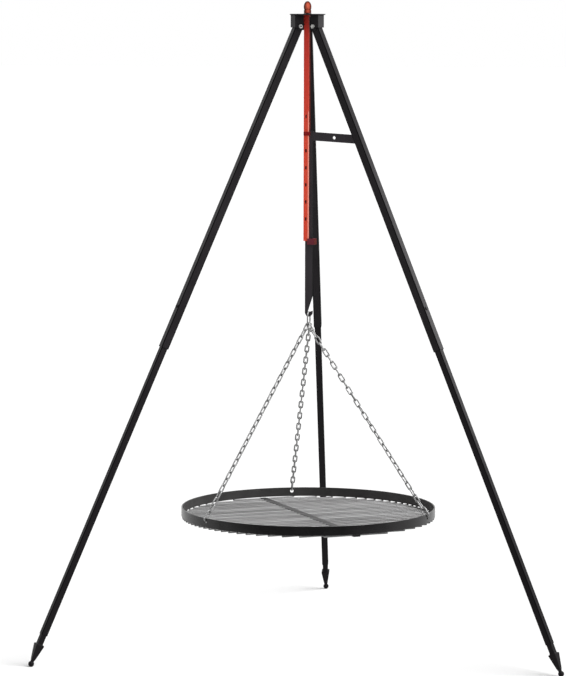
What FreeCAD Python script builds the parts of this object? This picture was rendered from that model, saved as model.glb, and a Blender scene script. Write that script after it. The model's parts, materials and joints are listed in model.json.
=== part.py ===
# Tripod grill: three telescopic legs on a bracket head, a swivelling height rail with a sliding
# hook bar, and a round grate hung from the hook on three chains. Millimetres, +Z up.
import FreeCAD
import Part
import Sketcher
import math
import os
import re
from FreeCAD import Placement, Rotation, Vector

driving_sizes = {
    # legs
    "leg_spread": 24.9,
    "leg_upper_size": 22.0,
    "leg_upper_wall": 1.5,
    "leg_upper_length": 960.0,
    "leg_top_reach": 12.0,
    "leg_slide_clearance": 0.5,
    "leg_lower_wall": 1.5,
    "leg_lower_length": 992.0,
    "leg_overlap": 160.0,
    # clamp screws
    "clamp_height": 118.0,
    "clamp_screw_d": 6.0,
    "clamp_head_d": 9.0,
    "clamp_head_height": 2.5,
    "clamp_socket_af": 4.0,
    "clamp_socket_depth": 1.5,
    "body_gap": 0.3,
    # feet
    "foot_ball_d": 16.0,
    "foot_flat_depth": 0.5,
    "foot_neck_size": 9.5,
    "foot_neck_length": 12.0,
    "foot_spear_length": 42.0,
    "foot_shoulder_size": 23.0,
    "foot_shoulder_height": 4.0,
    "foot_shank_gap": 25.0,
    "foot_shank_depth": 60.0,
    "foot_shank_clearance": 0.1,
    # head
    "head_disc_d": 97.0,
    "head_disc_thickness": 3.0,
    "head_height": 31.0,
    "pivot_radius": 28.0,
    "bracket_wall": 2.5,
    "bracket_side_gap": 0.5,
    "bracket_inner_reach": 10.0,
    "bracket_cheek_drop": 10.0,
    "bracket_web_drop": 3.0,
    "bracket_relief": 6.0,
    "bolt_d": 6.0,
    "bolt_head_d": 11.0,
    "bolt_head_height": 4.0,
    "bolt_socket_af": 4.0,
    "bolt_socket_depth": 2.5,
    "bolt_tip_length": 1.5,
    "nut_af": 10.0,
    "nut_height": 5.0,
    "running_clearance": 0.08,
    # rail and swivel
    "rail_azimuth": 344.0,
    "rail_wall": 3.0,
    "rail_depth": 15.0,
    "rail_back": 8.0,
    "rail_length": 610.0,
    "guide_clearance": 0.8,
    "guide_back_gap": 0.4,
    "slot_end_gap": 60.4,
    "slot_pitch": 46.6,
    "slot_count": 7.0,
    "slot_inset": 1.0,
    "slot_width": 5.0,
    "slot_height": 9.0,
    "cap_thickness": 5.0,
    "cap_front": 8.0,
    "stud_d": 10.0,
    "stud_grip": 12.0,
    "washer_d": 21.0,
    "washer_thickness": 2.0,
    "knob_collar_d": 20.0,
    "knob_collar_height": 8.0,
    "knob_dome_d": 21.0,
    "knob_dome_centre": 8.5,
    "knob_dome_rise": 15.5,
    "strap_lap": 3.5,
    "strap_wall": 3.0,
    "strap_clearance": 5.5,
    "strap_height": 16.5,
    "strap_overhang": 9.5,
    # hook bar
    "hook_thickness": 6.0,
    "hook_width": 21.0,
    "hook_length": 509.0,
    "hook_top_reach": 8.0,
    "hook_load_line": 10.5,
    "hook_floor": 10.0,
    "hook_throat_d": 7.0,
    "hook_mouth_height": 56.0,
    "hook_tip_height": 16.0,
    "hook_nose_height": 8.0,
    "hook_nose_back": 6.0,
    "hook_heel_height": 9.0,
    "hook_heel_length": 5.6,
    "handle_drop": 7.0,
    "handle_height": 23.5,
    "handle_length": 131.0,
    "handle_droop": 3.0,
    "handle_corner": 8.0,
    "handle_hole_d": 9.0,
    "handle_hole_reach": 62.0,
    "catch_thickness": 2.5,
    "catch_reach": 14.5,
    "catch_height": 10.0,
    "button_d": 7.0,
    "button_height": 3.0,
    # links and chains
    "wire_d": 4.0,
    "master_inner_width": 16.0,
    "master_inner_length": 33.0,
    "master_spread": 45.0,
    "chain_azimuth": 342.0,
    "link_count": 29.0,
    "chain_inner_width": 6.0,
    "chain_inner_length": 20.48,
    "rim_link_inner_width": 9.0,
    "rim_link_inner_length": 26.0,
    "link_gap": 0.04,
    "link_seat_gap": 0.4,
    # grate
    "rim_outer_d": 700.0,
    "rim_wall": 4.0,
    "rim_height": 25.0,
    "rim_hole_d": 10.0,
    "rim_strip": 5.0,
    "rod_azimuth": 26.6,
    "rod_d": 6.0,
    "rod_edge_gap": 16.5,
    "rod_count": 30.0,
    "rod_inset": 1.0,
    "cross_bar_width": 20.0,
    "cross_bar_web": 1.5,
    "cross_bar_dip": 0.5,
    "cross_bar_end_gap": 8.0,
    "rod_seat_gap": 0.1,
}
leg_azimuths = {"back": 90.0, "left": 210.0, "right": 330.0}
rest_slot = 1  # the slot, counted from the top, that the catch sits at
past = 1.0  # how far a cutter runs out past the face it opens
up = Vector(0, 0, 1)

doc = FreeCAD.newDocument("tripod_grill")
sheet = doc.addObject("Spreadsheet::Sheet", "sizes")
for row, (alias, number) in enumerate(driving_sizes.items(), start=1):
    sheet.set(f"A{row}", alias)
    sheet.set(f"B{row}", str(number))
    sheet.setAlias(f"B{row}", alias)
doc.recompute()

# sizes that follow from the driving ones
lower_size = "(leg_upper_size - 2 * leg_upper_wall - 2 * leg_slide_clearance)"
shank_size = f"({lower_size} - 2 * leg_lower_wall - 2 * foot_shank_clearance)"
foot_height = "(foot_neck_length + foot_spear_length + foot_shoulder_height)"
upper_below = "(leg_upper_length - leg_top_reach)"
lower_below = "(leg_lower_length - leg_overlap)"
leg_reach = f"({upper_below} + {lower_below} + foot_shank_gap + {foot_height})"
ball_height = "(foot_ball_d / 2 - foot_flat_depth)"
cheek_inner = "(leg_upper_size / 2 + bracket_side_gap)"
cheek_outer = f"({cheek_inner} + bracket_wall)"
web_inner = ("(pivot_radius + bracket_web_drop * tan(leg_spread)"
             " + leg_upper_size / 2 / cos(leg_spread) + body_gap)")
web_outer = f"({web_inner} + bracket_wall)"
bolt_hole_r = "(bolt_d / 2 + running_clearance)"
clamp_hole_r = "(clamp_screw_d / 2 + running_clearance)"
stud_hole_r = "(stud_d / 2 + running_clearance)"
rail_half = "(hook_thickness / 2 + guide_clearance + rail_wall)"
rail_edge = "(rail_depth - rail_back)"
slot_middle = "(slot_end_gap + (slot_count - 1 - {}) * slot_pitch)"
blade_back = "(rail_wall + guide_back_gap - rail_back)"
blade_front = f"({blade_back} + hook_width)"
blade_half = "(hook_thickness / 2)"
hook_bottom = "(hook_top_reach - hook_length)"
load_line = f"({blade_back} + hook_load_line)"
throat_r = "(hook_throat_d / 2)"
throat_height = f"({hook_bottom} + hook_floor + {throat_r})"
washer_bottom = "(body_gap + head_disc_thickness + body_gap)"
knob_bottom = f"({washer_bottom} + washer_thickness)"
rod_pitch = "((rim_outer_d - 2 * rod_edge_gap) / (rod_count - 1))"


def in_sheet(text):
    return re.sub(r"\b([a-z]+_\w+)", r"sizes.\1", text)


def value(text):
    return float(sheet.evalExpression(in_sheet(text)))


def bind(thing, prop, text):
    thing.setExpression(prop, in_sheet(text))


# places that follow from the sizes
pivot_height = value(f"{ball_height} + {leg_reach} * cos(leg_spread)")
foot_radius = value(f"pivot_radius + {leg_reach} * sin(leg_spread)")
axis_y = -foot_radius / 4
disc_bottom = pivot_height + value("head_height")
cap_top = disc_bottom - value("body_gap")
rail_bottom = cap_top - value("cap_thickness + rail_length")
catch_height = rail_bottom + value(slot_middle.format(rest_slot))
rail_azimuth = value("rail_azimuth")
parts = []


def place(thing, azimuth, height, radius=0.0, tilt=0.0):
    turn = Rotation(up, azimuth)
    base = Vector(0, axis_y, height) + turn.multVec(Vector(radius, 0, 0))
    thing.Placement = Placement(base, turn.multiply(Rotation(Vector(0, 1, 0), tilt)))


def box(name, spans):
    thing = doc.addObject("Part::Box", name)
    for prop, axis, (low, high) in zip(("Length", "Width", "Height"), "xyz", spans):
        bind(thing, prop, f"({high}) - ({low})")
        bind(thing, f"Placement.Base.{axis}", low)
    return thing


def round_bar(name, axis, radius, low, high, centre=None):
    turns = {
        "x": Rotation(Vector(0, 1, 0), 90),
        "y": Rotation(Vector(1, 0, 0), -90),
        "z": Rotation(),
    }
    thing = doc.addObject("Part::Cylinder", name)
    thing.Placement = Placement(Vector(), turns[axis])
    bind(thing, "Radius", radius)
    bind(thing, "Height", f"({high}) - ({low})")
    spots = {"x": "0", "y": "0", "z": "0"}
    spots.update(centre or {})
    spots[axis] = low
    for letter, text in spots.items():
        bind(thing, f"Placement.Base.{letter}", text)
    return thing


def hex_bar(name, axis, across_flats, low, high, centre=None):
    turns = {"x": Rotation(Vector(0, 1, 0), 90), "y": Rotation(Vector(1, 0, 0), -90)}
    thing = doc.addObject("Part::Prism", name)
    thing.Polygon = 6
    thing.Placement = Placement(Vector(), turns[axis])
    bind(thing, "Circumradius", f"({across_flats}) / sqrt(3)")
    bind(thing, "Height", f"({high}) - ({low})")
    spots = {"x": "0", "y": "0", "z": "0"}
    spots.update(centre or {})
    spots[axis] = low
    for letter, text in spots.items():
        bind(thing, f"Placement.Base.{letter}", text)
    return thing


def frustum(name, low_size, high_size, low, high):
    thing = doc.addObject("Part::Wedge", name)
    thing.Placement = Placement(Vector(), Rotation(Vector(1, 0, 0), 90))
    for prop in ("X", "Z"):
        bind(thing, f"{prop}min", f"-({low_size}) / 2")
        bind(thing, f"{prop}max", f"({low_size}) / 2")
        bind(thing, f"{prop}2min", f"-({high_size}) / 2")
        bind(thing, f"{prop}2max", f"({high_size}) / 2")
    bind(thing, "Ymin", low)
    bind(thing, "Ymax", high)
    return thing


def fuse(name, shapes):
    thing = doc.addObject("Part::MultiFuse", name)
    thing.Shapes = shapes
    thing.Refine = True
    return thing


def cut(name, base, tools):
    thing = doc.addObject("Part::Cut", name)
    thing.Base = base
    thing.Tool = tools[0] if len(tools) == 1 else fuse(f"{name}_tools", tools)
    return thing


def group(name, things):
    thing = doc.addObject("Part::Compound", name)
    thing.Links = things
    return thing


def sketch_on(body, name, plane):
    sketch = body.newObject("Sketcher::SketchObject", name)
    support = [part for part in body.Origin.OriginFeatures if part.Role == plane][0]
    sketch.AttachmentSupport = [(support, "")]
    sketch.MapMode = "FlatFace"
    return sketch


def pin_point(sketch, geometry, spot, texts):
    for kind, text in zip(("DistanceX", "DistanceY"), texts):
        index = sketch.addConstraint(Sketcher.Constraint(kind, -1, 1, geometry, spot, value(text)))
        bind(sketch, f"Constraints[{index}]", text)


def draw_outline(sketch, corners):
    first = sketch.GeometryCount
    count = len(corners)
    points = [Vector(value(across), value(along), 0) for across, along in corners]
    for k in range(count):
        sketch.addGeometry(Part.LineSegment(points[k], points[(k + 1) % count]))
    for k in range(count):
        follower = first + (k + 1) % count
        sketch.addConstraint(Sketcher.Constraint("Coincident", first + k, 2, follower, 1))
    for k in range(count):
        pin_point(sketch, first + k, 1, corners[k])


def draw_circle(sketch, centre, radius):
    middle = Vector(value(centre[0]), value(centre[1]), 0)
    geometry = sketch.addGeometry(Part.Circle(middle, up, value(radius)))
    index = sketch.addConstraint(Sketcher.Constraint("Radius", geometry, value(radius)))
    bind(sketch, f"Constraints[{index}]", radius)
    pin_point(sketch, geometry, 3, centre)


def padded(name, plane, corners, length, side="Symmetric"):
    body = doc.addObject("PartDesign::Body", name)
    sketch = sketch_on(body, f"{name}_outline", plane)
    draw_outline(sketch, corners)
    pad = body.newObject("PartDesign::Pad", f"{name}_pad")
    pad.Profile = sketch
    pad.SideType = side
    bind(pad, "Length", length)
    return body


def pocket(body, sketch):
    opening = body.newObject("PartDesign::Pocket", f"{sketch.Name}_pocket")
    opening.Profile = sketch
    opening.Type = "ThroughAll"
    opening.SideType = "Symmetric"
    body.Tip = opening


# head plate
def make_head_disc():
    plate = round_bar("head_plate", "z", "head_disc_d / 2", "0", "head_disc_thickness")
    hole = round_bar("head_hole", "z", stud_hole_r, f"-{past}", f"head_disc_thickness + {past}")
    disc = cut("head_disc", plate, [hole])
    place(disc, 0.0, disc_bottom)
    parts.append(disc)


# folded bracket: two cheeks with the pivot hole and a web whose lower edge stops the leg
def make_bracket(side, azimuth):
    name = f"leg_bracket_{side}"
    inner_end = "(pivot_radius - bracket_inner_reach)"
    block = box(f"{name}_block", [
        (inner_end, web_outer),
        (f"-{cheek_outer}", cheek_outer),
        ("-bracket_cheek_drop", "head_height"),
    ])
    channel = box(f"{name}_channel", [
        (f"{inner_end} - {past}", web_inner),
        (f"-{cheek_inner}", cheek_inner),
        (f"-bracket_cheek_drop - {past}", f"head_height + {past}"),
    ])
    relief = box(f"{name}_relief", [
        (f"{web_inner} - bracket_relief", f"{web_outer} + {past}"),
        (f"-{cheek_outer} - {past}", f"{cheek_outer} + {past}"),
        (f"-bracket_cheek_drop - {past}", "-bracket_web_drop"),
    ])
    hole = round_bar(f"{name}_hole", "y", bolt_hole_r, f"-{cheek_outer} - {past}",
                     f"{cheek_outer} + {past}", {"x": "pivot_radius"})
    bracket = cut(name, block, [channel, relief, hole])
    place(bracket, azimuth, pivot_height)
    parts.append(bracket)


def make_pivot_bolt(side, azimuth):
    name = f"pivot_bolt_{side}"
    head_end = f"({cheek_outer} + bolt_head_height)"
    tip = f"(-{cheek_outer} - nut_height - bolt_tip_length)"
    shank = round_bar(f"{name}_shank", "y", "bolt_d / 2", tip, cheek_outer)
    head = round_bar(f"{name}_head", "y", "bolt_head_d / 2", cheek_outer, head_end)
    socket = hex_bar(f"{name}_socket", "y", "bolt_socket_af", f"{head_end} - bolt_socket_depth",
                     f"{head_end} + {past}")
    bolt = cut(name, fuse(f"{name}_solid", [shank, head]), [socket])
    place(bolt, azimuth, pivot_height, value("pivot_radius"))
    return bolt


def make_pivot_nut(side, azimuth):
    name = f"pivot_nut_{side}"
    low = f"(-{cheek_outer} - nut_height)"
    high = f"(-{cheek_outer})"
    block = hex_bar(f"{name}_block", "y", "nut_af", low, high)
    bore = round_bar(f"{name}_bore", "y", bolt_hole_r, f"{low} - {past}", f"{high} + {past}")
    nut = cut(name, block, [bore])
    place(nut, azimuth, pivot_height, value("pivot_radius"))
    return nut


# legs, each in a frame whose z runs up along the leg
def make_upper_leg(side, azimuth):
    name = f"leg_upper_{side}"
    half = "(leg_upper_size / 2)"
    inner = "(leg_upper_size / 2 - leg_upper_wall)"
    screw_spot = {"z": f"clamp_height - {upper_below}"}
    block = box(f"{name}_block", [
        (f"-{half}", half),
        (f"-{half}", half),
        (f"-{upper_below}", "leg_top_reach"),
    ])
    bore = box(f"{name}_bore", [
        (f"-{inner}", inner),
        (f"-{inner}", inner),
        (f"-{upper_below} - {past}", f"leg_top_reach + {past}"),
    ])
    pivot = round_bar(f"{name}_pivot", "y", bolt_hole_r, f"-{half} - {past}", f"{half} + {past}")
    screw = round_bar(f"{name}_screw", "x", clamp_hole_r, "0", f"{half} + {past}", screw_spot)
    tube = cut(name, block, [bore, pivot, screw])
    place(tube, azimuth, pivot_height, value("pivot_radius"), -value("leg_spread"))
    parts.append(tube)


def make_clamp_screw(side, azimuth):
    name = f"clamp_screw_{side}"
    half = "(leg_upper_size / 2)"
    head_end = f"({half} + clamp_head_height)"
    spot = {"z": f"clamp_height - {upper_below}"}
    shank = round_bar(f"{name}_shank", "x", "clamp_screw_d / 2", f"{lower_size} / 2 + body_gap",
                      half, spot)
    head = round_bar(f"{name}_head", "x", "clamp_head_d / 2", half, head_end, spot)
    socket = hex_bar(f"{name}_socket", "x", "clamp_socket_af", f"{head_end} - clamp_socket_depth",
                     f"{head_end} + {past}", spot)
    screw = cut(name, fuse(f"{name}_solid", [shank, head]), [socket])
    place(screw, azimuth, pivot_height, value("pivot_radius"), -value("leg_spread"))
    parts.append(screw)


def make_lower_leg(side, azimuth):
    name = f"leg_lower_{side}"
    half = f"({lower_size} / 2)"
    inner = f"({lower_size} / 2 - leg_lower_wall)"
    low = f"(-{upper_below} - {lower_below})"
    high = f"(leg_overlap - {upper_below})"
    block = box(f"{name}_block", [(f"-{half}", half), (f"-{half}", half), (low, high)])
    bore = box(f"{name}_bore", [
        (f"-{inner}", inner),
        (f"-{inner}", inner),
        (f"{low} - {past}", f"{high} + {past}"),
    ])
    tube = cut(name, block, [bore])
    place(tube, azimuth, pivot_height, value("pivot_radius"), -value("leg_spread"))
    parts.append(tube)


# spear foot on a shank, with a ball that has a small flat on the ground
def make_foot(side, azimuth):
    name = f"foot_{side}"
    spear_top = "(foot_neck_length + foot_spear_length)"
    shank_half = f"({shank_size} / 2)"
    ball = doc.addObject("Part::Sphere", f"{name}_ball")
    bind(ball, "Radius", "foot_ball_d / 2")
    neck = box(f"{name}_neck", [
        ("-foot_neck_size / 2", "foot_neck_size / 2"),
        ("-foot_neck_size / 2", "foot_neck_size / 2"),
        ("0", "foot_neck_length"),
    ])
    spear = frustum(f"{name}_spear", "foot_neck_size", "foot_shoulder_size", "foot_neck_length",
                    spear_top)
    shoulder = frustum(f"{name}_shoulder", "foot_shoulder_size", shank_size, spear_top, foot_height)
    shank = box(f"{name}_shank", [
        (f"-{shank_half}", shank_half),
        (f"-{shank_half}", shank_half),
        (foot_height, f"{foot_height} + foot_shank_gap + foot_shank_depth"),
    ])
    solid = fuse(f"{name}_solid", [ball, neck, spear, shoulder, shank])
    place(solid, azimuth, value(ball_height), foot_radius, -value("leg_spread"))
    ground = box(f"{name}_ground", [
        ("-foot_ball_d", "foot_ball_d"),
        ("-foot_ball_d", "foot_ball_d"),
        ("-foot_ball_d", "0"),
    ])
    ground_block = group(f"{name}_ground_block", [ground])
    place(ground_block, azimuth, 0.0, foot_radius)
    parts.append(cut(name, solid, [ground_block]))


# red U channel with a row of slots through both flanges
def make_rail():
    inner_half = f"({rail_half} - rail_wall)"
    web_face = "(rail_wall - rail_back)"
    rail = padded("lift_rail", "XY_Plane", [
        ("-rail_back", f"-{rail_half}"),
        (rail_edge, f"-{rail_half}"),
        (rail_edge, f"-{inner_half}"),
        (web_face, f"-{inner_half}"),
        (web_face, inner_half),
        (rail_edge, inner_half),
        (rail_edge, rail_half),
        ("-rail_back", rail_half),
    ], "rail_length", "One side")
    slots = sketch_on(rail, "rail_slots", "XZ_Plane")
    near = f"({web_face} + slot_inset)"
    far = f"({near} + slot_width)"
    for k in range(int(value("slot_count"))):
        middle = slot_middle.format(k)
        low = f"{middle} - slot_height / 2"
        high = f"{middle} + slot_height / 2"
        draw_outline(slots, [(near, low), (far, low), (far, high), (near, high)])
    pocket(rail, slots)
    place(rail, rail_azimuth, rail_bottom)
    parts.append(rail)


# swivel on top of the rail: cap, stud through the head plate, washer and knob
def make_swivel():
    cap = box("cap_block", [
        ("-rail_back", "cap_front"),
        (f"-{rail_half}", rail_half),
        ("-cap_thickness", "0"),
    ])
    cap_node = group("rail_cap", [cap])
    stud = round_bar("stud_bar", "z", "stud_d / 2", "0", f"{knob_bottom} + stud_grip")
    stud_node = group("rail_stud", [stud])
    washer = cut("rail_washer", round_bar("washer_plate", "z", "washer_d / 2", washer_bottom, knob_bottom), [
        round_bar("washer_hole", "z", stud_hole_r, f"{washer_bottom} - {past}", f"{knob_bottom} + {past}"),
    ])
    collar_top = f"({knob_bottom} + knob_collar_height)"
    collar = round_bar("knob_collar", "z", "knob_collar_d / 2", knob_bottom, collar_top)
    dome = doc.addObject("Part::Ellipsoid", "knob_dome")
    bind(dome, "Radius1", "knob_dome_rise")
    bind(dome, "Radius2", "knob_dome_d / 2")
    bind(dome, "Placement.Base.z", f"{collar_top} + knob_dome_centre")
    bore = round_bar("knob_bore", "z", stud_hole_r, f"{knob_bottom} - {past}",
                     f"{knob_bottom} + stud_grip + body_gap")
    knob = cut("rail_knob", fuse("knob_solid", [collar, dome]), [bore])
    for thing in (cap_node, stud_node, washer, knob):
        place(thing, rail_azimuth, cap_top)
        parts.append(thing)


# red loop that holds the hook bar at the bottom of the rail
def make_strap():
    start = f"({rail_edge} - strap_lap)"
    outer_half = f"({rail_half} + strap_wall)"
    inner_front = f"({blade_front} + strap_clearance)"
    outer_front = f"({inner_front} + strap_wall)"
    strap = padded("rail_strap", "XY_Plane", [
        (start, f"-{outer_half}"),
        (outer_front, f"-{outer_half}"),
        (outer_front, outer_half),
        (start, outer_half),
        (start, rail_half),
        (inner_front, rail_half),
        (inner_front, f"-{rail_half}"),
        (start, f"-{rail_half}"),
    ], "strap_height", "One side")
    place(strap, rail_azimuth, rail_bottom - value("strap_overhang"))
    parts.append(strap)


# flat bar with the open hook at its lower end
def make_hook_bar():
    throat_back = f"({load_line} - {throat_r})"
    throat_front = f"({load_line} + {throat_r})"
    hook = padded("hook_bar", "XZ_Plane", [
        (blade_back, "hook_top_reach"),
        (blade_back, f"{hook_bottom} + hook_heel_height"),
        (f"{blade_back} + hook_heel_length", hook_bottom),
        (f"{blade_front} - hook_nose_back", hook_bottom),
        (blade_front, f"{hook_bottom} + hook_nose_height"),
        (blade_front, f"{hook_bottom} + hook_tip_height"),
        (throat_front, throat_height),
        (throat_back, throat_height),
        (blade_front, f"{hook_bottom} + hook_mouth_height"),
        (blade_front, "hook_top_reach"),
    ], "hook_thickness")
    throat = sketch_on(hook, "hook_throat", "XZ_Plane")
    draw_circle(throat, (load_line, throat_height), throat_r)
    pocket(hook, throat)
    place(hook, rail_azimuth, catch_height)
    parts.append(hook)


def make_handle():
    far = f"({blade_front} + handle_length)"
    sink = "(handle_length * tan(handle_droop))"
    middle = "(-handle_drop)"
    handle = padded("lift_handle", "XZ_Plane", [
        (blade_front, f"{middle} - handle_height / 2"),
        (far, f"{middle} - {sink} - handle_height / 2"),
        (far, f"{middle} - {sink} + handle_height / 2"),
        (blade_front, f"{middle} + handle_height / 2"),
    ], "hook_thickness")
    hole = sketch_on(handle, "handle_hole", "XZ_Plane")
    hole_drop = "(handle_hole_reach * tan(handle_droop))"
    draw_circle(hole, (f"{blade_front} + handle_hole_reach", f"{middle} - {hole_drop}"), "handle_hole_d / 2")
    pocket(handle, hole)
    doc.recompute()
    plain = handle.Tip
    end_edges = []
    for k, edge in enumerate(plain.Shape.Edges, start=1):
        at_end = all(abs(corner.X - value(far)) < 0.01 for corner in edge.Vertexes)
        if at_end and edge.BoundBox.YLength > value(blade_half):
            end_edges.append(f"Edge{k}")
    rounded = handle.newObject("PartDesign::Fillet", "handle_rounding")
    rounded.Base = (plain, end_edges)
    bind(rounded, "Radius", "handle_corner")
    handle.Tip = rounded
    place(handle, rail_azimuth, catch_height)
    parts.append(handle)


# clip on the hook bar that reaches round the near flange, with its button
def make_catch():
    plate_inner = f"(-{rail_half} - body_gap)"
    plate_outer = f"({plate_inner} - catch_thickness)"
    plate_back = f"({rail_edge} - catch_reach)"
    return_back = f"({rail_edge} + body_gap)"
    return_front = f"({return_back} + catch_thickness)"
    catch = padded("height_catch", "XY_Plane", [
        (plate_back, plate_outer),
        (return_front, plate_outer),
        (return_front, f"-{blade_half}"),
        (return_back, f"-{blade_half}"),
        (return_back, plate_inner),
        (plate_back, plate_inner),
    ], "catch_height")
    button = round_bar("button_bar", "y", "button_d / 2", f"{plate_outer} - button_height", plate_outer,
                       {"x": f"{plate_back} + catch_reach / 2"})
    button_node = group("catch_button", [button])
    for thing in (catch, button_node):
        place(thing, rail_azimuth, catch_height)
        parts.append(thing)


# oval link of round wire in the XY plane, long way along y
def oval_link(name, inner_width, inner_length):
    bend = f"({inner_width} / 2 + wire_d / 2)"
    half = f"(({inner_length} - {inner_width}) / 2)"
    pieces = []
    for tag, turn, text in (("top", 0.0, half), ("bottom", 180.0, f"-{half}")):
        end = doc.addObject("Part::Torus", f"{name}_{tag}")
        end.Angle3 = 180.0
        end.Placement = Placement(Vector(), Rotation(up, turn))
        bind(end, "Radius1", bend)
        bind(end, "Radius2", "wire_d / 2")
        bind(end, "Placement.Base.y", text)
        pieces.append(end)
    for tag, text in (("right", bend), ("left", f"-{bend}")):
        pieces.append(round_bar(f"{name}_{tag}", "y", "wire_d / 2", f"-{half}", half, {"x": text}))
    return fuse(name, pieces)


# the head end
make_head_disc()
bolts = []
nuts = []
for side, azimuth in leg_azimuths.items():
    make_bracket(side, azimuth)
    bolts.append(make_pivot_bolt(side, azimuth))
    nuts.append(make_pivot_nut(side, azimuth))
    make_upper_leg(side, azimuth)
    make_clamp_screw(side, azimuth)
    make_lower_leg(side, azimuth)
    make_foot(side, azimuth)
parts.append(group("pivot_bolts", bolts))
parts.append(group("pivot_nuts", nuts))
make_rail()
make_swivel()
make_strap()
make_hook_bar()
make_handle()
make_catch()

# master link on the hook: its plane is square to the hook bar
wire = value("wire_d")
master_bend = value("master_inner_width / 2 + wire_d / 2")
rail_turn = Rotation(up, rail_azimuth)
rail_across = rail_turn.multVec(Vector(0, 1, 0))
load_spot = Vector(0, axis_y, 0) + rail_turn.multVec(Vector(value(load_line), 0, 0))
inner_bend = master_bend - wire / 2
arch_drop = inner_bend - math.sqrt(inner_bend ** 2 - value(blade_half) ** 2)
seat_height = catch_height + value(f"{hook_bottom} + hook_floor")
top_wire = seat_height + wire / 2 + arch_drop + value("body_gap")
master_middle = top_wire - value("master_inner_length / 2 + wire_d / 2")
lower_bend = top_wire - value("master_inner_length + wire_d") + master_bend
master = oval_link("master_link", "master_inner_width", "master_inner_length")
master_axes = Rotation(rail_across, up, Vector(0, 0, 0), "XYZ")
master.Placement = Placement(load_spot + up * master_middle, master_axes)
parts.append(master)

# chains: the middle one sets how far down the grate hangs
link_count = int(value("link_count"))
chain_pitch = value("chain_inner_length - link_gap")
chain_length = value("chain_inner_length + wire_d")
rim_link_length = value("rim_link_inner_length + wire_d")
start_back = value("wire_d + link_seat_gap")
strip_reach = math.hypot(value("rim_strip"), value("rim_wall")) / 2 + wire / 2 + value("link_seat_gap")
strip_radius = value("rim_outer_d / 2 - rim_wall / 2")
middle_reach = link_count * chain_pitch + rim_link_length - start_back - strip_reach
lowest_wire = lower_bend - master_bend
strip_height = lowest_wire - math.sqrt(middle_reach ** 2 - strip_radius ** 2)
rim_top = strip_height + value("rim_strip") / 2
rim_bottom = rim_top - value("rim_height")
chain_azimuths = {}
for k, side in enumerate(("right", "back", "left")):
    chain_azimuths[side] = value("chain_azimuth") + 120.0 * k
arch_angles = {"right": 0.0, "back": value("master_spread"), "left": -value("master_spread")}
chain_template = oval_link("chain_link", "chain_inner_width", "chain_inner_length")
rim_template = oval_link("rim_link", "rim_link_inner_width", "rim_link_inner_length")
doc.recompute()


def hung_link(template, start, along, normal, length):
    shape = template.Shape.copy()
    turn = Rotation(Vector(0, 0, 0), along * -1, normal, "YZX")
    shape.Placement = Placement(start + along * (length / 2), turn)
    return shape


def square_to(direction, along):
    part_along = along * direction.dot(along)
    return (direction - part_along).normalize()


# links of one chain from the master link down, then its rim link
def chain_shapes(side):
    angle = math.radians(arch_angles[side])
    arch = rail_across * math.sin(angle) - up * math.cos(angle)
    tangent = rail_across * math.cos(angle) + up * math.sin(angle)
    hang = load_spot + up * lower_bend + arch * master_bend
    outward = Rotation(up, chain_azimuths[side]).multVec(Vector(1, 0, 0))
    strip = load_spot + outward * strip_radius + up * strip_height
    along = (strip - hang).normalize()
    pitch = ((strip - hang).Length + strip_reach + start_back - rim_link_length) / link_count
    first_normal = square_to(tangent, along)
    last_normal = square_to(outward.cross(up), along)
    wanted = math.degrees(math.atan2(first_normal.cross(last_normal).dot(along),
                                     first_normal.dot(last_normal)))
    spare = (wanted - 90.0 * link_count + 90.0) % 180.0 - 90.0
    step = 90.0 + spare / link_count
    links = []
    for k in range(link_count):
        normal = Rotation(along, step * k).multVec(first_normal)
        start = hang + along * (pitch * k - start_back)
        links.append(hung_link(chain_template, start, along, normal, chain_length))
    rim_start = hang + along * (pitch * link_count - start_back)
    rim_link = hung_link(rim_template, rim_start, along, last_normal, rim_link_length)
    return links, rim_link


rim_links = []
for side in ("back", "left", "right"):
    links, rim_link = chain_shapes(side)
    chain = doc.addObject("Part::Feature", f"chain_{side}")
    chain.Shape = Part.makeCompound(links)
    parts.append(chain)
    rim_links.append(rim_link)
rim_link_node = doc.addObject("Part::Feature", "rim_links")
rim_link_node.Shape = Part.makeCompound(rim_links)
parts.append(rim_link_node)


# grate: rim with three holes, rods under the rim, one flat bar under the rods
def make_rim():
    hoop = round_bar("rim_hoop", "z", "rim_outer_d / 2", "0", "rim_height")
    inside = round_bar("rim_inside", "z", "rim_outer_d / 2 - rim_wall", f"-{past}", f"rim_height + {past}")
    holes = []
    for side, azimuth in chain_azimuths.items():
        hole = round_bar(f"rim_hole_{side}", "x", "rim_hole_d / 2", "rim_outer_d / 2 - 2 * rim_wall",
                         "rim_outer_d / 2 + rim_wall", {"z": "rim_height - rim_strip - rim_hole_d / 2"})
        turned = group(f"rim_hole_turned_{side}", [hole])
        turned.Placement = Placement(Vector(), Rotation(up, azimuth))
        holes.append(turned)
    rim = cut("grate_rim", hoop, [inside] + holes)
    rim.Placement = Placement(load_spot + up * rim_bottom, Rotation())
    parts.append(rim)


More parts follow.
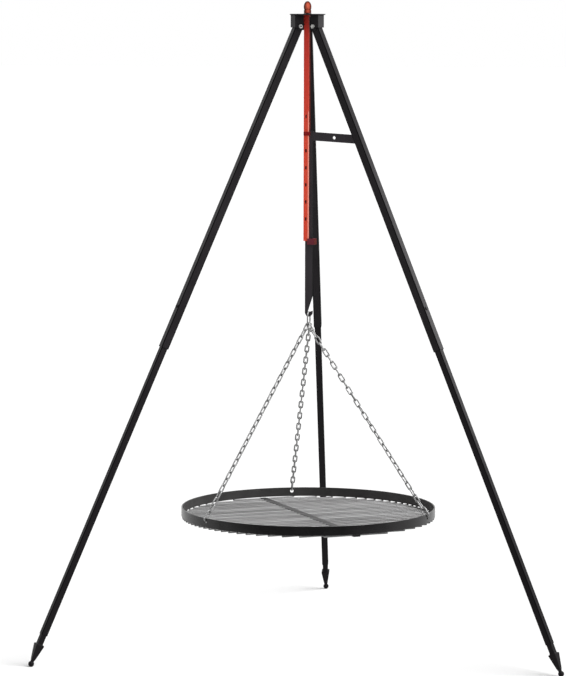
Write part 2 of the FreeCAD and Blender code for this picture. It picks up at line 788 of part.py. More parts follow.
# rods welded under the rim, and the flat bar across them with a round seat for each rod
def make_rods_and_bar():
    rods = []
    seats = []
    count = int(value("rod_count"))
    seat_half = f"(cross_bar_width / 2 + {past})"
    for k in range(count):
        steps = k - (count - 1) / 2
        side_step = f"({steps} * {rod_pitch})"
        far_side = f"({abs(steps)} * {rod_pitch} + rod_d / 2)"
        half = f"sqrt((rim_outer_d / 2 - rod_inset)^2 - {far_side}^2)"
        middle = {"y": side_step, "z": "-rod_d / 2"}
        rods.append(round_bar(f"grate_rod_{k + 1}", "x", "rod_d / 2", f"-{half}", half, middle))
        seats.append(round_bar(f"rod_seat_{k + 1}", "x", "rod_d / 2 + rod_seat_gap", f"-{seat_half}", seat_half,
                               middle))
    bar_half = "(rim_outer_d / 2 - cross_bar_end_gap)"
    block = box("cross_bar_block", [
        ("-cross_bar_width / 2", "cross_bar_width / 2"),
        (f"-{bar_half}", bar_half),
        ("-rod_d - cross_bar_web", "-cross_bar_dip"),
    ])
    for node in (group("grate_rods", rods), cut("grate_cross_bar", block, seats)):
        node.Placement = Placement(load_spot + up * rim_bottom, Rotation(up, value("rod_azimuth")))
        parts.append(node)


make_rim()
make_rods_and_bar()
doc.recompute()

# every object is checked before any file is written
for thing in doc.Objects:
    if "Invalid" in thing.State or "Error" in thing.State:
        raise RuntimeError(f"{thing.Name} did not build")
for thing in parts:
    if thing.Shape.isNull() or not thing.Shape.isValid():
        raise RuntimeError(f"{thing.Name} has no sound shape")
os.makedirs("parts", exist_ok=True)
for thing in parts:
    thing.Shape.exportStep(f"parts/{thing.Label}.step")
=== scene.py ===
import json
import math

import bmesh
import bpy
import numpy as np
from mathutils import Matrix, Vector

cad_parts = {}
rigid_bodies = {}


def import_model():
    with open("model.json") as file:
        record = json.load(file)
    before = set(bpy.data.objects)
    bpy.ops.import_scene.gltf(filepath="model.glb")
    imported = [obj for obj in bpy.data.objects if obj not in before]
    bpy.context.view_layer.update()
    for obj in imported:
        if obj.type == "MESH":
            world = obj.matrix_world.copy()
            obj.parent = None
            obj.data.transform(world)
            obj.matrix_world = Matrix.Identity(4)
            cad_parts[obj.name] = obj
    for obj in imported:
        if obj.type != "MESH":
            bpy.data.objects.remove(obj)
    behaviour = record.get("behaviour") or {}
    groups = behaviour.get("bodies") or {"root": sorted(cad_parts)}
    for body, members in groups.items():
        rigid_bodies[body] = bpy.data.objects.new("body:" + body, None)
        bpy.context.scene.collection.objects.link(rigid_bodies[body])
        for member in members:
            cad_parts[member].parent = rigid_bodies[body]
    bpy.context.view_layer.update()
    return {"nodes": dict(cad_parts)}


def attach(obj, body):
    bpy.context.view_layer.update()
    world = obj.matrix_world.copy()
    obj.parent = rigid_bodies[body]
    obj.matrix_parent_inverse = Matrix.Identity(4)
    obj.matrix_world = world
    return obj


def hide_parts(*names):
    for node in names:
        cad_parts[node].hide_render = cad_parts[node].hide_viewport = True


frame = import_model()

mm = 0.001
scene = bpy.context.scene
print("frame loaded:", len(frame["nodes"]), "nodes")

# where the tripod stands and leans, in mm and degrees
tripod = {"lean": 24.9, "pivotR": 28.0, "legReach": 1863.0, "ballHeight": 7.5,
          "sides": {"back": 90.0, "left": 210.0, "right": 330.0}}
tripod["pivotZ"] = tripod["ballHeight"] + tripod["legReach"] * math.cos(math.radians(tripod["lean"]))
tripod["footR"] = tripod["pivotR"] + tripod["legReach"] * math.sin(math.radians(tripod["lean"]))
tripod["axisY"] = -tripod["footR"] / 4
tripod["discBottom"] = tripod["pivotZ"] + 31.0
railTurn = math.radians(344.0)
along0 = np.array([math.cos(railTurn), math.sin(railTurn), 0.0])
across0 = np.array([-math.sin(railTurn), math.cos(railTurn), 0.0])
upward = np.array([0.0, 0.0, 1.0])


# node groups shared by the finishes

def newGroup(name, inputs, outputs):
    group = bpy.data.node_groups.new(name, "ShaderNodeTree")
    for label, kind, default in inputs:
        socket = group.interface.new_socket(label, in_out="INPUT", socket_type=kind)
        socket.default_value = default
    for label, kind in outputs:
        group.interface.new_socket(label, in_out="OUTPUT", socket_type=kind)
    return group, group.nodes.new("NodeGroupInput"), group.nodes.new("NodeGroupOutput")


def noiseNode(tree, vector, scale, detail, roughness):
    node = tree.nodes.new("ShaderNodeTexNoise")
    node.inputs["Detail"].default_value = detail
    node.inputs["Roughness"].default_value = roughness
    tree.links.new(vector, node.inputs["Vector"])
    tree.links.new(scale, node.inputs["Scale"])
    return node.outputs["Fac"]


def rampNode(tree, value, low, high, outLow=0.0, outHigh=1.0):
    node = tree.nodes.new("ShaderNodeMapRange")
    node.inputs["From Min"].default_value = low
    node.inputs["From Max"].default_value = high
    node.inputs["To Min"].default_value = outLow
    node.inputs["To Max"].default_value = outHigh
    tree.links.new(value, node.inputs["Value"])
    return node.outputs["Result"]


def mathNode(tree, kind, first, second):
    node = tree.nodes.new("ShaderNodeMath")
    node.operation = kind
    for socket, item in zip(node.inputs, (first, second)):
        if isinstance(item, (int, float)):
            socket.default_value = item
        else:
            tree.links.new(item, socket)
    return node.outputs[0]


def mixColour(tree, factor, first, second):
    node = tree.nodes.new("ShaderNodeMix")
    node.data_type = "RGBA"
    tree.links.new(factor, node.inputs["Factor"])
    for socket, item in zip((node.inputs[6], node.inputs[7]), (first, second)):
        if isinstance(item, tuple):
            socket.default_value = (*item, 1.0)
        else:
            tree.links.new(item, socket)
    return node.outputs[2]


def makeCoatGroup():
    # sprayed coat: fine orange peel, a soft cloud in the tone, sparse pale rub marks
    group, inputs, outputs = newGroup("sprayedCoat", [
        ("Vector", "NodeSocketVector", (0.0, 0.0, 0.0)),
        ("Peel Scale", "NodeSocketFloat", 900.0),
        ("Cloud Scale", "NodeSocketFloat", 9.0),
        ("Rub Scale", "NodeSocketFloat", 60.0),
    ], [("Height", "NodeSocketFloat"), ("Cloud", "NodeSocketFloat"), ("Rub", "NodeSocketFloat"),
        ("Gloss", "NodeSocketFloat")])
    vector = inputs.outputs["Vector"]
    peel = noiseNode(group, vector, inputs.outputs["Peel Scale"], 2.0, 0.55)
    cloud = noiseNode(group, vector, inputs.outputs["Cloud Scale"], 4.0, 0.6)
    rub = noiseNode(group, vector, inputs.outputs["Rub Scale"], 6.0, 0.7)
    group.links.new(peel, outputs.inputs["Height"])
    group.links.new(rampNode(group, cloud, 0.3, 0.7), outputs.inputs["Cloud"])
    group.links.new(rampNode(group, rub, 0.66, 0.74), outputs.inputs["Rub"])
    group.links.new(mathNode(group, "MULTIPLY", cloud, peel), outputs.inputs["Gloss"])
    return group


def makeZincGroup():
    # zinc: flat crystals of slightly different tone, a fine grey bloom over them
    group, inputs, outputs = newGroup("zincBloom", [
        ("Vector", "NodeSocketVector", (0.0, 0.0, 0.0)),
        ("Crystal Scale", "NodeSocketFloat", 260.0),
        ("Bloom Scale", "NodeSocketFloat", 120.0),
    ], [("Crystal", "NodeSocketFloat"), ("Bloom", "NodeSocketFloat"), ("Height", "NodeSocketFloat")])
    vector = inputs.outputs["Vector"]
    cells = group.nodes.new("ShaderNodeTexVoronoi")
    group.links.new(vector, cells.inputs["Vector"])
    group.links.new(inputs.outputs["Crystal Scale"], cells.inputs["Scale"])
    split = group.nodes.new("ShaderNodeSeparateColor")
    group.links.new(cells.outputs["Color"], split.inputs["Color"])
    bloom = noiseNode(group, vector, inputs.outputs["Bloom Scale"], 5.0, 0.65)
    group.links.new(split.outputs["Red"], outputs.inputs["Crystal"])
    group.links.new(rampNode(group, bloom, 0.35, 0.7), outputs.inputs["Bloom"])
    group.links.new(bloom, outputs.inputs["Height"])
    return group


def makeDrawnGroup():
    # drawn bar: streaks along the bar, dark heat marks here and there
    group, inputs, outputs = newGroup("drawnSteel", [
        ("Vector", "NodeSocketVector", (0.0, 0.0, 0.0)),
        ("Streak Scale", "NodeSocketFloat", 1.0),
        ("Heat Scale", "NodeSocketFloat", 7.0),
    ], [("Streak", "NodeSocketFloat"), ("Heat", "NodeSocketFloat")])
    vector = inputs.outputs["Vector"]
    streak = noiseNode(group, vector, inputs.outputs["Streak Scale"], 3.0, 0.6)
    heat = noiseNode(group, vector, inputs.outputs["Heat Scale"], 4.0, 0.6)
    group.links.new(streak, outputs.inputs["Streak"])
    group.links.new(rampNode(group, heat, 0.45, 0.7), outputs.inputs["Heat"])
    return group


coatGroup = makeCoatGroup()
zincGroup = makeZincGroup()
drawnGroup = makeDrawnGroup()

# numbers that finishes share: reaches in mm, ranges of the noise, relief in metres
finish = {"edgeOut": (4.2, 4.8), "edgeSide": (5.9, 6.4), "edgeDown": (-1470.0, -1464.0), "railTop": (1360.0, 1640.0),
          "topShadeShare": 0.85, "groundShadeReach": (250.0, 900.0), "edgeShadeBlend": 0.87, "gloss": (0.1, 0.45),
          "streakTone": (0.36, 0.64), "streakRough": (0.3, 0.7), "metalSpecular": 0.5,
          "coatRelief": 0.0004, "metalRelief": 0.0002}


def startMaterial(name, specular, turn=0.0, stretch=(1.0, 1.0, 1.0)):
    material = bpy.data.materials.new(name)
    material.use_nodes = True
    tree = material.node_tree
    shader = tree.nodes["Principled BSDF"]
    shader.inputs["Specular IOR Level"].default_value = specular
    where = tree.nodes.new("ShaderNodeTexCoord").outputs["Object"]
    mapping = tree.nodes.new("ShaderNodeMapping")
    mapping.vector_type = "TEXTURE"  # turned first, then drawn out along the turned axes
    mapping.inputs["Rotation"].default_value = (0.0, 0.0, math.radians(turn))
    mapping.inputs["Scale"].default_value = stretch
    tree.links.new(where, mapping.inputs["Vector"])
    return material, tree, shader, mapping.outputs["Vector"]


def placeGroup(tree, group, vector, values):
    node = tree.nodes.new("ShaderNodeGroup")
    node.node_tree = group
    tree.links.new(vector, node.inputs["Vector"])
    for label, number in values.items():
        node.inputs[label].default_value = number
    return node.outputs


def bumpFrom(tree, shader, height, strength, distance):
    bump = tree.nodes.new("ShaderNodeBump")
    bump.inputs["Strength"].default_value = strength
    bump.inputs["Distance"].default_value = distance
    tree.links.new(height, bump.inputs["Height"])
    tree.links.new(bump.outputs["Normal"], shader.inputs["Normal"])


def reachRamp(tree, vector, way, low, high):
    # 0 to 1 where the reach from the tripod's axis along way goes from low to high mm
    reach = tree.nodes.new("ShaderNodeVectorMath")
    reach.operation = "DOT_PRODUCT"
    reach.inputs[1].default_value = way
    tree.links.new(vector, reach.inputs[0])
    base = way[1] * tripod["axisY"]
    return rampNode(tree, reach.outputs["Value"], (base + low) * mm, (base + high) * mm)


def coatMaterial(name, look):
    material, tree, shader, vector = startMaterial(name, look["specular"])
    out = placeGroup(tree, coatGroup, vector, {"Peel Scale": look["peel"], "Cloud Scale": look["cloud"],
                                               "Rub Scale": look["rub"]})
    tone = mixColour(tree, out["Cloud"], look["dark"], look["light"])
    worn = mathNode(tree, "MULTIPLY", out["Rub"], look["rubAmount"])
    tone = mixColour(tree, worn, tone, look["rubColour"])
    if "paintedEdgeShade" in look:  # painted shade and reflection: darker where the surface turns away from the view
        facing = tree.nodes.new("ShaderNodeLayerWeight")
        facing.inputs["Blend"].default_value = finish["edgeShadeBlend"]
        tone = mixColour(tree, facing.outputs["Facing"], tone, look["paintedEdgeShade"])
    if "paintedEdgeHighlight" in look:  # painted highlight: a thin pale line along the near flange's edge
        mask = mathNode(tree, "MULTIPLY", reachRamp(tree, vector, along0, *finish["edgeOut"]),
                        reachRamp(tree, vector, -across0, *finish["edgeSide"]))
        mask = mathNode(tree, "MULTIPLY", mask, reachRamp(tree, vector, -upward, *finish["edgeDown"]))
        tone = mixColour(tree, mask, tone, look["paintedEdgeHighlight"])
    if "paintedTopShade" in look:  # painted shade: a deeper tone towards the top of the rail, under the head plate
        mask = reachRamp(tree, vector, upward, *finish["railTop"])
        tone = mixColour(tree, mathNode(tree, "MULTIPLY", mask, finish["topShadeShare"]), tone, look["paintedTopShade"])
    if "paintedGroundShade" in look:  # painted shade: deeper towards the ground
        height = reachRamp(tree, vector, upward, *finish["groundShadeReach"])
        tone = mixColour(tree, height, look["paintedGroundShade"], tone)
    if "tint" in look:  # the gleam takes the plastic's colour
        shader.inputs["Specular Tint"].default_value = (*look["tint"], 1.0)
    tree.links.new(tone, shader.inputs["Base Color"])
    rough = rampNode(tree, out["Gloss"], *finish["gloss"], look["roughLow"], look["roughHigh"])
    tree.links.new(rough, shader.inputs["Roughness"])
    bumpFrom(tree, shader, out["Height"], look["bump"], finish["coatRelief"])
    return material


def zincMaterial(name, look):
    material, tree, shader, vector = startMaterial(name, finish["metalSpecular"])
    shader.inputs["Metallic"].default_value = look["metal"]
    out = placeGroup(tree, zincGroup, vector, {"Crystal Scale": look["crystal"], "Bloom Scale": look["bloom"]})
    tone = mixColour(tree, out["Crystal"], look["dark"], look["light"])
    faded = mathNode(tree, "MULTIPLY", out["Bloom"], look["bloomAmount"])
    tree.links.new(mixColour(tree, faded, tone, look["bloomColour"]), shader.inputs["Base Color"])
    rough = rampNode(tree, out["Bloom"], 0.0, 1.0, look["roughLow"], look["roughHigh"])
    tree.links.new(rough, shader.inputs["Roughness"])
    bumpFrom(tree, shader, out["Height"], look["bump"], finish["metalRelief"])
    return material


def drawnMaterial(name, look):
    material, tree, shader, vector = startMaterial(name, finish["metalSpecular"], look["turn"], look["stretch"])
    shader.inputs["Metallic"].default_value = look["metal"]
    out = placeGroup(tree, drawnGroup, vector, {"Streak Scale": look["streak"], "Heat Scale": look["heat"]})
    tone = mixColour(tree, rampNode(tree, out["Streak"], *finish["streakTone"]), look["dark"], look["light"])
    burnt = mathNode(tree, "MULTIPLY", out["Heat"], look["heatAmount"])
    tree.links.new(mixColour(tree, burnt, tone, look["heatColour"]), shader.inputs["Base Color"])
    rough = rampNode(tree, out["Streak"], *finish["streakRough"], look["roughLow"], look["roughHigh"])
    tree.links.new(rough, shader.inputs["Roughness"])
    bumpFrom(tree, shader, out["Streak"], look["bump"], finish["metalRelief"])
    return material


blackCoat = coatMaterial("blackPowderCoat", {
    "specular": 0.12, "peel": 1100.0, "cloud": 7.0, "rub": 55.0, "dark": (0.0110, 0.0096, 0.0110),
    "light": (0.0185, 0.0164, 0.0185), "rubAmount": 0.30, "rubColour": (0.06, 0.056, 0.06),
    "roughLow": 0.32, "roughHigh": 0.48, "bump": 0.12})
# the lower tubes' coat: the black coat with a lower specular level and painted shade deepening towards the ground
lowerShadedCoat = coatMaterial("lowerLegPowderCoat", {
    "specular": 0.07, "peel": 1100.0, "cloud": 7.0, "rub": 55.0, "dark": (0.0110, 0.0096, 0.0110),
    "light": (0.0185, 0.0164, 0.0185), "rubAmount": 0.30, "rubColour": (0.06, 0.056, 0.06),
    "roughLow": 0.32, "roughHigh": 0.48, "bump": 0.12, "paintedGroundShade": (0.0085, 0.0074, 0.0085)})
# painted shade: a very dark copy of the black coat for the legs' rounded corners and the hook bar's cut edges
cornerShadeCoat = coatMaterial("dimCornerCoat", {
    "specular": 0.02, "peel": 1100.0, "cloud": 9.0, "rub": 60.0, "dark": (0.0016, 0.0014, 0.0018),
    "light": (0.0040, 0.0036, 0.0042), "rubAmount": 0.10, "rubColour": (0.04, 0.038, 0.04),
    "roughLow": 0.36, "roughHigh": 0.52, "bump": 0.10})
# painted light: a lighter copy of the black coat for the hook bar, its handle and their welds
hookLitCoat = coatMaterial("hookPowderCoat", {
    "specular": 0.12, "peel": 1000.0, "cloud": 11.0, "rub": 70.0, "dark": (0.0310, 0.0275, 0.0310),
    "light": (0.0400, 0.0355, 0.0400), "rubAmount": 0.25, "rubColour": (0.08, 0.075, 0.08),
    "roughLow": 0.34, "roughHigh": 0.50, "bump": 0.12})
rimCoat = coatMaterial("rimPowderCoat", {
    "specular": 0.34, "peel": 900.0, "cloud": 10.0, "rub": 40.0, "dark": (0.0045, 0.0043, 0.0046),
    "light": (0.0080, 0.0076, 0.0080), "rubAmount": 0.4, "rubColour": (0.05, 0.048, 0.047),
    "roughLow": 0.20, "roughHigh": 0.32, "bump": 0.08})
# painted light: a lighter copy of the rim's coat for the inside of the rim; its rub marks are wear
rimInsideLit = coatMaterial("fadedRimCoat", {
    "specular": 0.3, "peel": 800.0, "cloud": 14.0, "rub": 50.0, "dark": (0.022, 0.0212, 0.021),
    "light": (0.036, 0.0345, 0.034), "rubAmount": 0.5, "rubColour": (0.09, 0.086, 0.082),
    "roughLow": 0.36, "roughHigh": 0.52, "bump": 0.12})
# the red coat carries a painted highlight along the near flange's edge and painted shade towards the rail's top
redCoat = coatMaterial("redPowderCoat", {
    "specular": 0.15, "peel": 1000.0, "cloud": 9.0, "rub": 70.0, "dark": (0.68, 0.060, 0.031),
    "light": (0.78, 0.086, 0.046), "rubAmount": 0.18, "rubColour": (0.85, 0.20, 0.14),
    "roughLow": 0.30, "roughHigh": 0.46, "bump": 0.10, "paintedEdgeHighlight": (0.95, 0.40, 0.31),
    "paintedTopShade": (0.58, 0.036, 0.027)})
# painted shade: a deep, dull red for the channel's folds, the far flange's edge and the strap's end
redPaintedShade = coatMaterial("redChannelInside", {
    "specular": 0.03, "peel": 900.0, "cloud": 12.0, "rub": 80.0, "dark": (0.060, 0.004, 0.002),
    "light": (0.085, 0.006, 0.003), "rubAmount": 0.15, "rubColour": (0.16, 0.02, 0.012),
    "roughLow": 0.40, "roughHigh": 0.56, "bump": 0.10})
strapCoat = coatMaterial("crimsonStrapCoat", {
    "specular": 0.06, "peel": 1000.0, "cloud": 14.0, "rub": 90.0, "dark": (0.118, 0.021, 0.030),
    "light": (0.152, 0.028, 0.040), "rubAmount": 0.2, "rubColour": (0.18, 0.04, 0.04),
    "roughLow": 0.38, "roughHigh": 0.54, "bump": 0.10})
catchCoat = coatMaterial("deepRedCatchCoat", {
    "specular": 0.04, "peel": 1000.0, "cloud": 60.0, "rub": 110.0, "dark": (0.160, 0.009, 0.010),
    "light": (0.250, 0.014, 0.015), "rubAmount": 0.2, "rubColour": (0.24, 0.03, 0.03),
    "roughLow": 0.38, "roughHigh": 0.54, "bump": 0.10})
# the knob: its red-orange is partly the plastic's own colour and partly a painted highlight against the painted shade
# at its edges
redKnob = coatMaterial("redKnobPlastic", {
    "specular": 0.03, "peel": 500.0, "cloud": 30.0, "rub": 120.0, "dark": (0.42, 0.055, 0.028),
    "light": (0.72, 0.150, 0.085), "rubAmount": 0.10, "rubColour": (0.60, 0.16, 0.10), "tint": (1.0, 0.42, 0.28),
    "roughLow": 0.12, "roughHigh": 0.20, "bump": 0.03, "paintedEdgeShade": (0.03, 0.0015, 0.001)})
brightZinc = zincMaterial("brightZinc", {
    "metal": 0.8, "crystal": 900.0, "bloom": 500.0, "dark": (0.55, 0.55, 0.54), "light": (0.74, 0.74, 0.72),
    "bloomAmount": 0.35, "bloomColour": (0.44, 0.43, 0.40), "roughLow": 0.22, "roughHigh": 0.40, "bump": 0.05})
chainZinc = zincMaterial("chainZinc", {
    "metal": 1.0, "crystal": 320.0, "bloom": 240.0, "dark": (0.25, 0.25, 0.25), "light": (0.46, 0.46, 0.46),
    "bloomAmount": 0.45, "bloomColour": (0.21, 0.21, 0.21), "roughLow": 0.50, "roughHigh": 0.66, "bump": 0.12})
# painted shade and a painted reflection of the red knob above: a dark, reddish zinc for the washer
washerShadeZinc = zincMaterial("dullWasherZinc", {
    "metal": 1.0, "crystal": 700.0, "bloom": 400.0, "dark": (0.075, 0.034, 0.034), "light": (0.120, 0.058, 0.058),
    "bloomAmount": 0.4, "bloomColour": (0.06, 0.03, 0.03), "roughLow": 0.34, "roughHigh": 0.50, "bump": 0.08})
rodSteel = drawnMaterial("drawnRodSteel", {
    "metal": 0.6, "turn": 26.6, "stretch": (0.5, 0.010, 0.010), "streak": 1.0, "heat": 0.6,
    "dark": (0.085, 0.085, 0.085), "light": (0.215, 0.215, 0.215), "heatAmount": 0.4,
    "heatColour": (0.08, 0.075, 0.075), "roughLow": 0.32, "roughHigh": 0.50, "bump": 0.10})
blackScrew = coatMaterial("blackScrewOxide", {
    "specular": 0.25, "peel": 1500.0, "cloud": 120.0, "rub": 260.0, "dark": (0.006, 0.0058, 0.0065),
    "light": (0.013, 0.0125, 0.0135), "rubAmount": 0.4, "rubColour": (0.06, 0.058, 0.056),
    "roughLow": 0.30, "roughHigh": 0.45, "bump": 0.05})
weldSteel = coatMaterial("weldBeadCoat", {
    "specular": 0.3, "peel": 700.0, "cloud": 60.0, "rub": 150.0, "dark": (0.012, 0.0115, 0.012),
    "light": (0.024, 0.023, 0.024), "rubAmount": 0.4, "rubColour": (0.08, 0.078, 0.078),
    "roughLow": 0.45, "roughHigh": 0.62, "bump": 0.2})
print("finishes made")


# surfaces: sharp, flat and hard are angles in degrees, the joins are in metres

meshing = {"join": 1e-7, "sharp": 35.0, "evenWeight": 80, "plateJoin": 2e-6, "flat": 1.0, "hard": 32.0}


def gridFaces(rows, columns, wrapRows=False):
    # quads of a grid whose columns close on themselves, and its rows too where asked
    row = np.arange(rows if wrapRows else rows - 1)[:, None]
    column = np.arange(columns)[None, :]
    after = (column + 1) % columns
    nextRow = (row + 1) % rows
    corners = [row * columns + column, row * columns + after, nextRow * columns + after, nextRow * columns + column]
    return np.stack([corner + np.zeros((row.size, columns), int) for corner in corners], -1).reshape(-1, 4)


def roundedSquare(half, corner, steps):
    # four quarter arcs of radius corner, each centred half - corner from the middle
    angle = np.linspace(0.0, np.pi / 2, steps)
    quarter = np.stack([np.cos(angle), np.sin(angle)], -1) * corner + (half - corner)
    quarters = [quarter @ np.array([[math.cos(q), math.sin(q)], [-math.sin(q), math.cos(q)]])
                for q in np.arange(4) * np.pi / 2]
    return np.concatenate(quarters)


def squareStack(rows, steps=5):
    # rows of (height, half width, corner radius) become rings of a rounded square
    return np.stack([np.column_stack([roundedSquare(half, corner, steps), np.full(steps * 4, height)])
                     for height, half, corner in rows])


def roundStack(rows, count):
    # rows of (height, radius) become circles of count points
    angle = np.linspace(0.0, 2 * np.pi, count, endpoint=False)
    rows = np.asarray(rows, float)
    ring = np.stack([np.cos(angle), np.sin(angle)], -1)
    flat = rows[:, 1, None, None] * ring[None]
    height = np.broadcast_to(rows[:, 0, None, None], (len(rows), count, 1))
    return np.concatenate([flat, height], -1)


def turnZ(degrees):
    a = math.radians(degrees)
    return np.array([[math.cos(a), -math.sin(a), 0.0], [math.sin(a), math.cos(a), 0.0], [0.0, 0.0, 1.0]])


def turnY(degrees):
    a = math.radians(degrees)
    return np.array([[math.cos(a), 0.0, math.sin(a)], [0.0, 1.0, 0.0], [-math.sin(a), 0.0, math.cos(a)]])


def onAxis(points, azimuth, height, radius=0.0, tilt=0.0):
    # mm points of a piece's own frame, tilted, set out from the tripod's axis and turned round it
    turn = turnZ(azimuth)
    base = np.array([0.0, tripod["axisY"], height]) + turn @ np.array([radius, 0.0, 0.0])
    return points @ (turn @ turnY(tilt)).T + base


def finishMesh(piece):
    work = bmesh.new()
    work.from_mesh(piece.data)
    bmesh.ops.remove_doubles(work, verts=work.verts, dist=meshing["join"])
    bmesh.ops.recalc_face_normals(work, faces=work.faces)
    work.to_mesh(piece.data)
    work.free()
    piece.data.shade_smooth()
    piece.data.set_sharp_from_angle(angle=math.radians(meshing["sharp"]))
    even = piece.modifiers.new("evenNormals", "WEIGHTED_NORMAL")
    even.keep_sharp = True
    even.weight = meshing["evenWeight"]


def joinPiece(piece, body, nodes, material):
    piece.data.materials.clear()
    piece.data.materials.append(material)
    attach(piece, body)
    if nodes:
        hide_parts(*nodes)
    return piece


def ringMesh(name, parts):
    # parts: (rings in mm, rows wrap or not, ends capped or not)
    points = []
    faces = []
    start = 0
    for rings, wrap, capped in parts:
        rows, columns = rings.shape[:2]
        faces.extend((gridFaces(rows, columns, wrap) + start).tolist())
        if capped:
            faces.append(list(range(start, start + columns)))
            faces.append(list(range(start + (rows - 1) * columns, start + rows * columns)))
        points.append(rings.reshape(-1, 3))
        start += rows * columns
    mesh = bpy.data.meshes.new(name)
    mesh.from_pydata((np.concatenate(points) * mm).tolist(), [], faces)
    return mesh


def surfacePiece(name, parts, body, nodes, material):
    piece = bpy.data.objects.new(name, ringMesh(name, parts))
    scene.collection.objects.link(piece)
    finishMesh(piece)
    return joinPiece(piece, body, nodes, material)


def softPiece(name, node, width, body, material, segments=2):
    # a plate or a fastener with its hard edges rounded off by width mm
    mesh = frame["nodes"][node].data.copy()
    mesh.name = name
    work = bmesh.new()
    work.from_mesh(mesh)
    bmesh.ops.remove_doubles(work, verts=work.verts, dist=meshing["plateJoin"])
    bmesh.ops.dissolve_limit(work, angle_limit=math.radians(meshing["flat"]), verts=work.verts, edges=work.edges)
    hard = [edge for edge in work.edges if edge.calc_face_angle(0.0) > math.radians(meshing["hard"])]
    bmesh.ops.bevel(work, geom=hard, offset=width * mm, segments=segments, profile=0.5, affect="EDGES",
                    clamp_overlap=True)
    work.to_mesh(mesh)
    work.free()
    piece = bpy.data.objects.new(name, mesh)
    scene.collection.objects.link(piece)
    finishMesh(piece)
    return joinPiece(piece, body, [node], material)


def faceData(piece):
    # middles in mm out from the tripod's axis, and normals, of all faces
    centres = np.zeros(len(piece.data.polygons) * 3)
    normals = np.zeros(len(piece.data.polygons) * 3)
    piece.data.polygons.foreach_get("center", centres)
    piece.data.polygons.foreach_get("normal", normals)
    return centres.reshape(-1, 3) / mm - np.array([0.0, tripod["axisY"], 0.0]), normals.reshape(-1, 3)


def secondCoat(piece, material, chosen):
    # the chosen faces take the second material
    piece.data.materials.append(material)
    piece.data.polygons.foreach_set("material_index", chosen.astype(np.int32))


# legs: square tubes with rounded corners, and spear feet

upperTube = {"half": 11.0, "wall": 1.5, "corner": 2.2, "low": -948.0, "high": 12.0, "lip": 0.35}
lowerTube = {"half": 9.0, "wall": 1.5, "corner": 2.0, "low": -1780.0, "high": -788.0, "lip": 0.35}
spearFoot = {"ball": 8.0, "neck": 4.75, "neckTop": 12.0, "spearTop": 54.0, "shoulder": 11.5, "shoulderTop": 58.0,
             "shank": 7.4, "shankTop": 143.0, "edge": 1.0, "waistDrop": 2.5, "flareRise": 4.0, "flare": 0.85}
cornerBand = (0.1, 0.99)  # how far sideways the faces of a rounded corner look


def tubeRings(tube):
    # outer wall up, over a small lip, inner wall down
    half, corner, lip = tube["half"], tube["corner"], tube["lip"]
    inner = half - tube["wall"]
    innerCorner = max(corner - tube["wall"], 0.6)
    low, high = tube["low"], tube["high"]
    return squareStack([(low, half - lip, corner - lip), (low + lip, half, corner), (high - lip, half, corner),
                        (high, half - lip, corner - lip), (high, inner, innerCorner), (low, inner, innerCorner)])


def footRings(foot):
    # ball, waist, four-sided spear, shoulder and shank as one stack of rounded squares
    tilt = np.linspace(-np.pi / 2 + 0.02, np.pi / 2 - math.asin(foot["neck"] / foot["ball"]), 16)
    ball = [(foot["ball"] * math.sin(t), foot["ball"] * math.cos(t), foot["ball"] * math.cos(t) * 0.999) for t in tilt]
    neck = foot["neck"]
    edge = foot["edge"]
    top = foot["spearTop"]
    rise = [(foot["neckTop"] - foot["waistDrop"], neck, neck * 0.9), (foot["neckTop"], neck * 1.05, neck * 0.5),
            (foot["neckTop"] + foot["flareRise"], neck + foot["flare"], edge)]
    spear = [(top - 0.6, foot["shoulder"] - 0.3, edge), (top + 0.4, foot["shoulder"], edge),
             (top + 1.4, foot["shoulder"] - 0.4, edge), (foot["shoulderTop"], foot["shank"], edge),
             (foot["shankTop"], foot["shank"], edge)]
    return squareStack(ball + rise + spear, 7)


for side, azimuth in tripod["sides"].items():
    leaning = {"azimuth": azimuth, "height": tripod["pivotZ"], "radius": tripod["pivotR"], "tilt": -tripod["lean"]}
    sideways = turnZ(azimuth) @ np.array([0.0, 1.0, 0.0])
    for part, tube, coat in (("upper", upperTube, blackCoat), ("lower", lowerTube, lowerShadedCoat)):
        piece = surfacePiece(f"{part}Tube_{side}", [(onAxis(tubeRings(tube), **leaning), True, False)],
                             f"{part}_{side}", [f"leg_{part}_{side}"], coat)
        facing = np.abs(faceData(piece)[1] @ sideways)
        secondCoat(piece, cornerShadeCoat, (facing > cornerBand[0]) & (facing < cornerBand[1]))  # painted shade: the rounded corners are darkened
    foot = onAxis(footRings(spearFoot), azimuth, tripod["ballHeight"], tripod["footR"], -tripod["lean"])
    foot[..., 2] = np.maximum(foot[..., 2], 0.0)  # the ball stands on a small flat
    surfacePiece(f"spearFoot_{side}", [(foot, False, True)], f"lower_{side}", [f"foot_{side}"],
                 lowerShadedCoat)
    softPiece(f"clampScrew_{side}", f"clamp_screw_{side}", 0.35, f"upper_{side}", blackScrew)
    softPiece(f"foldedBracket_{side}", f"leg_bracket_{side}", 0.55, "head", blackCoat)
print("legs made")

# head plate: a turned profile with a rounded rim and the swivel hole

headPlate = {"radius": 48.5, "thickness": 3.0, "edge": 0.8, "hole": 5.08, "holeEdge": 0.3}


def headPlateRings(plate):
    r, t, e, h, c = (plate[key] for key in ("radius", "thickness", "edge", "hole", "holeEdge"))
    soft = e * 0.3
    rows = [(0.0, h + c), (0.0, r - e), (soft, r - soft), (e, r), (t - e, r), (t - soft, r - soft), (t, r - e),
            (t, h + c), (t - c, h), (c, h)]
    return roundStack(rows, 96)


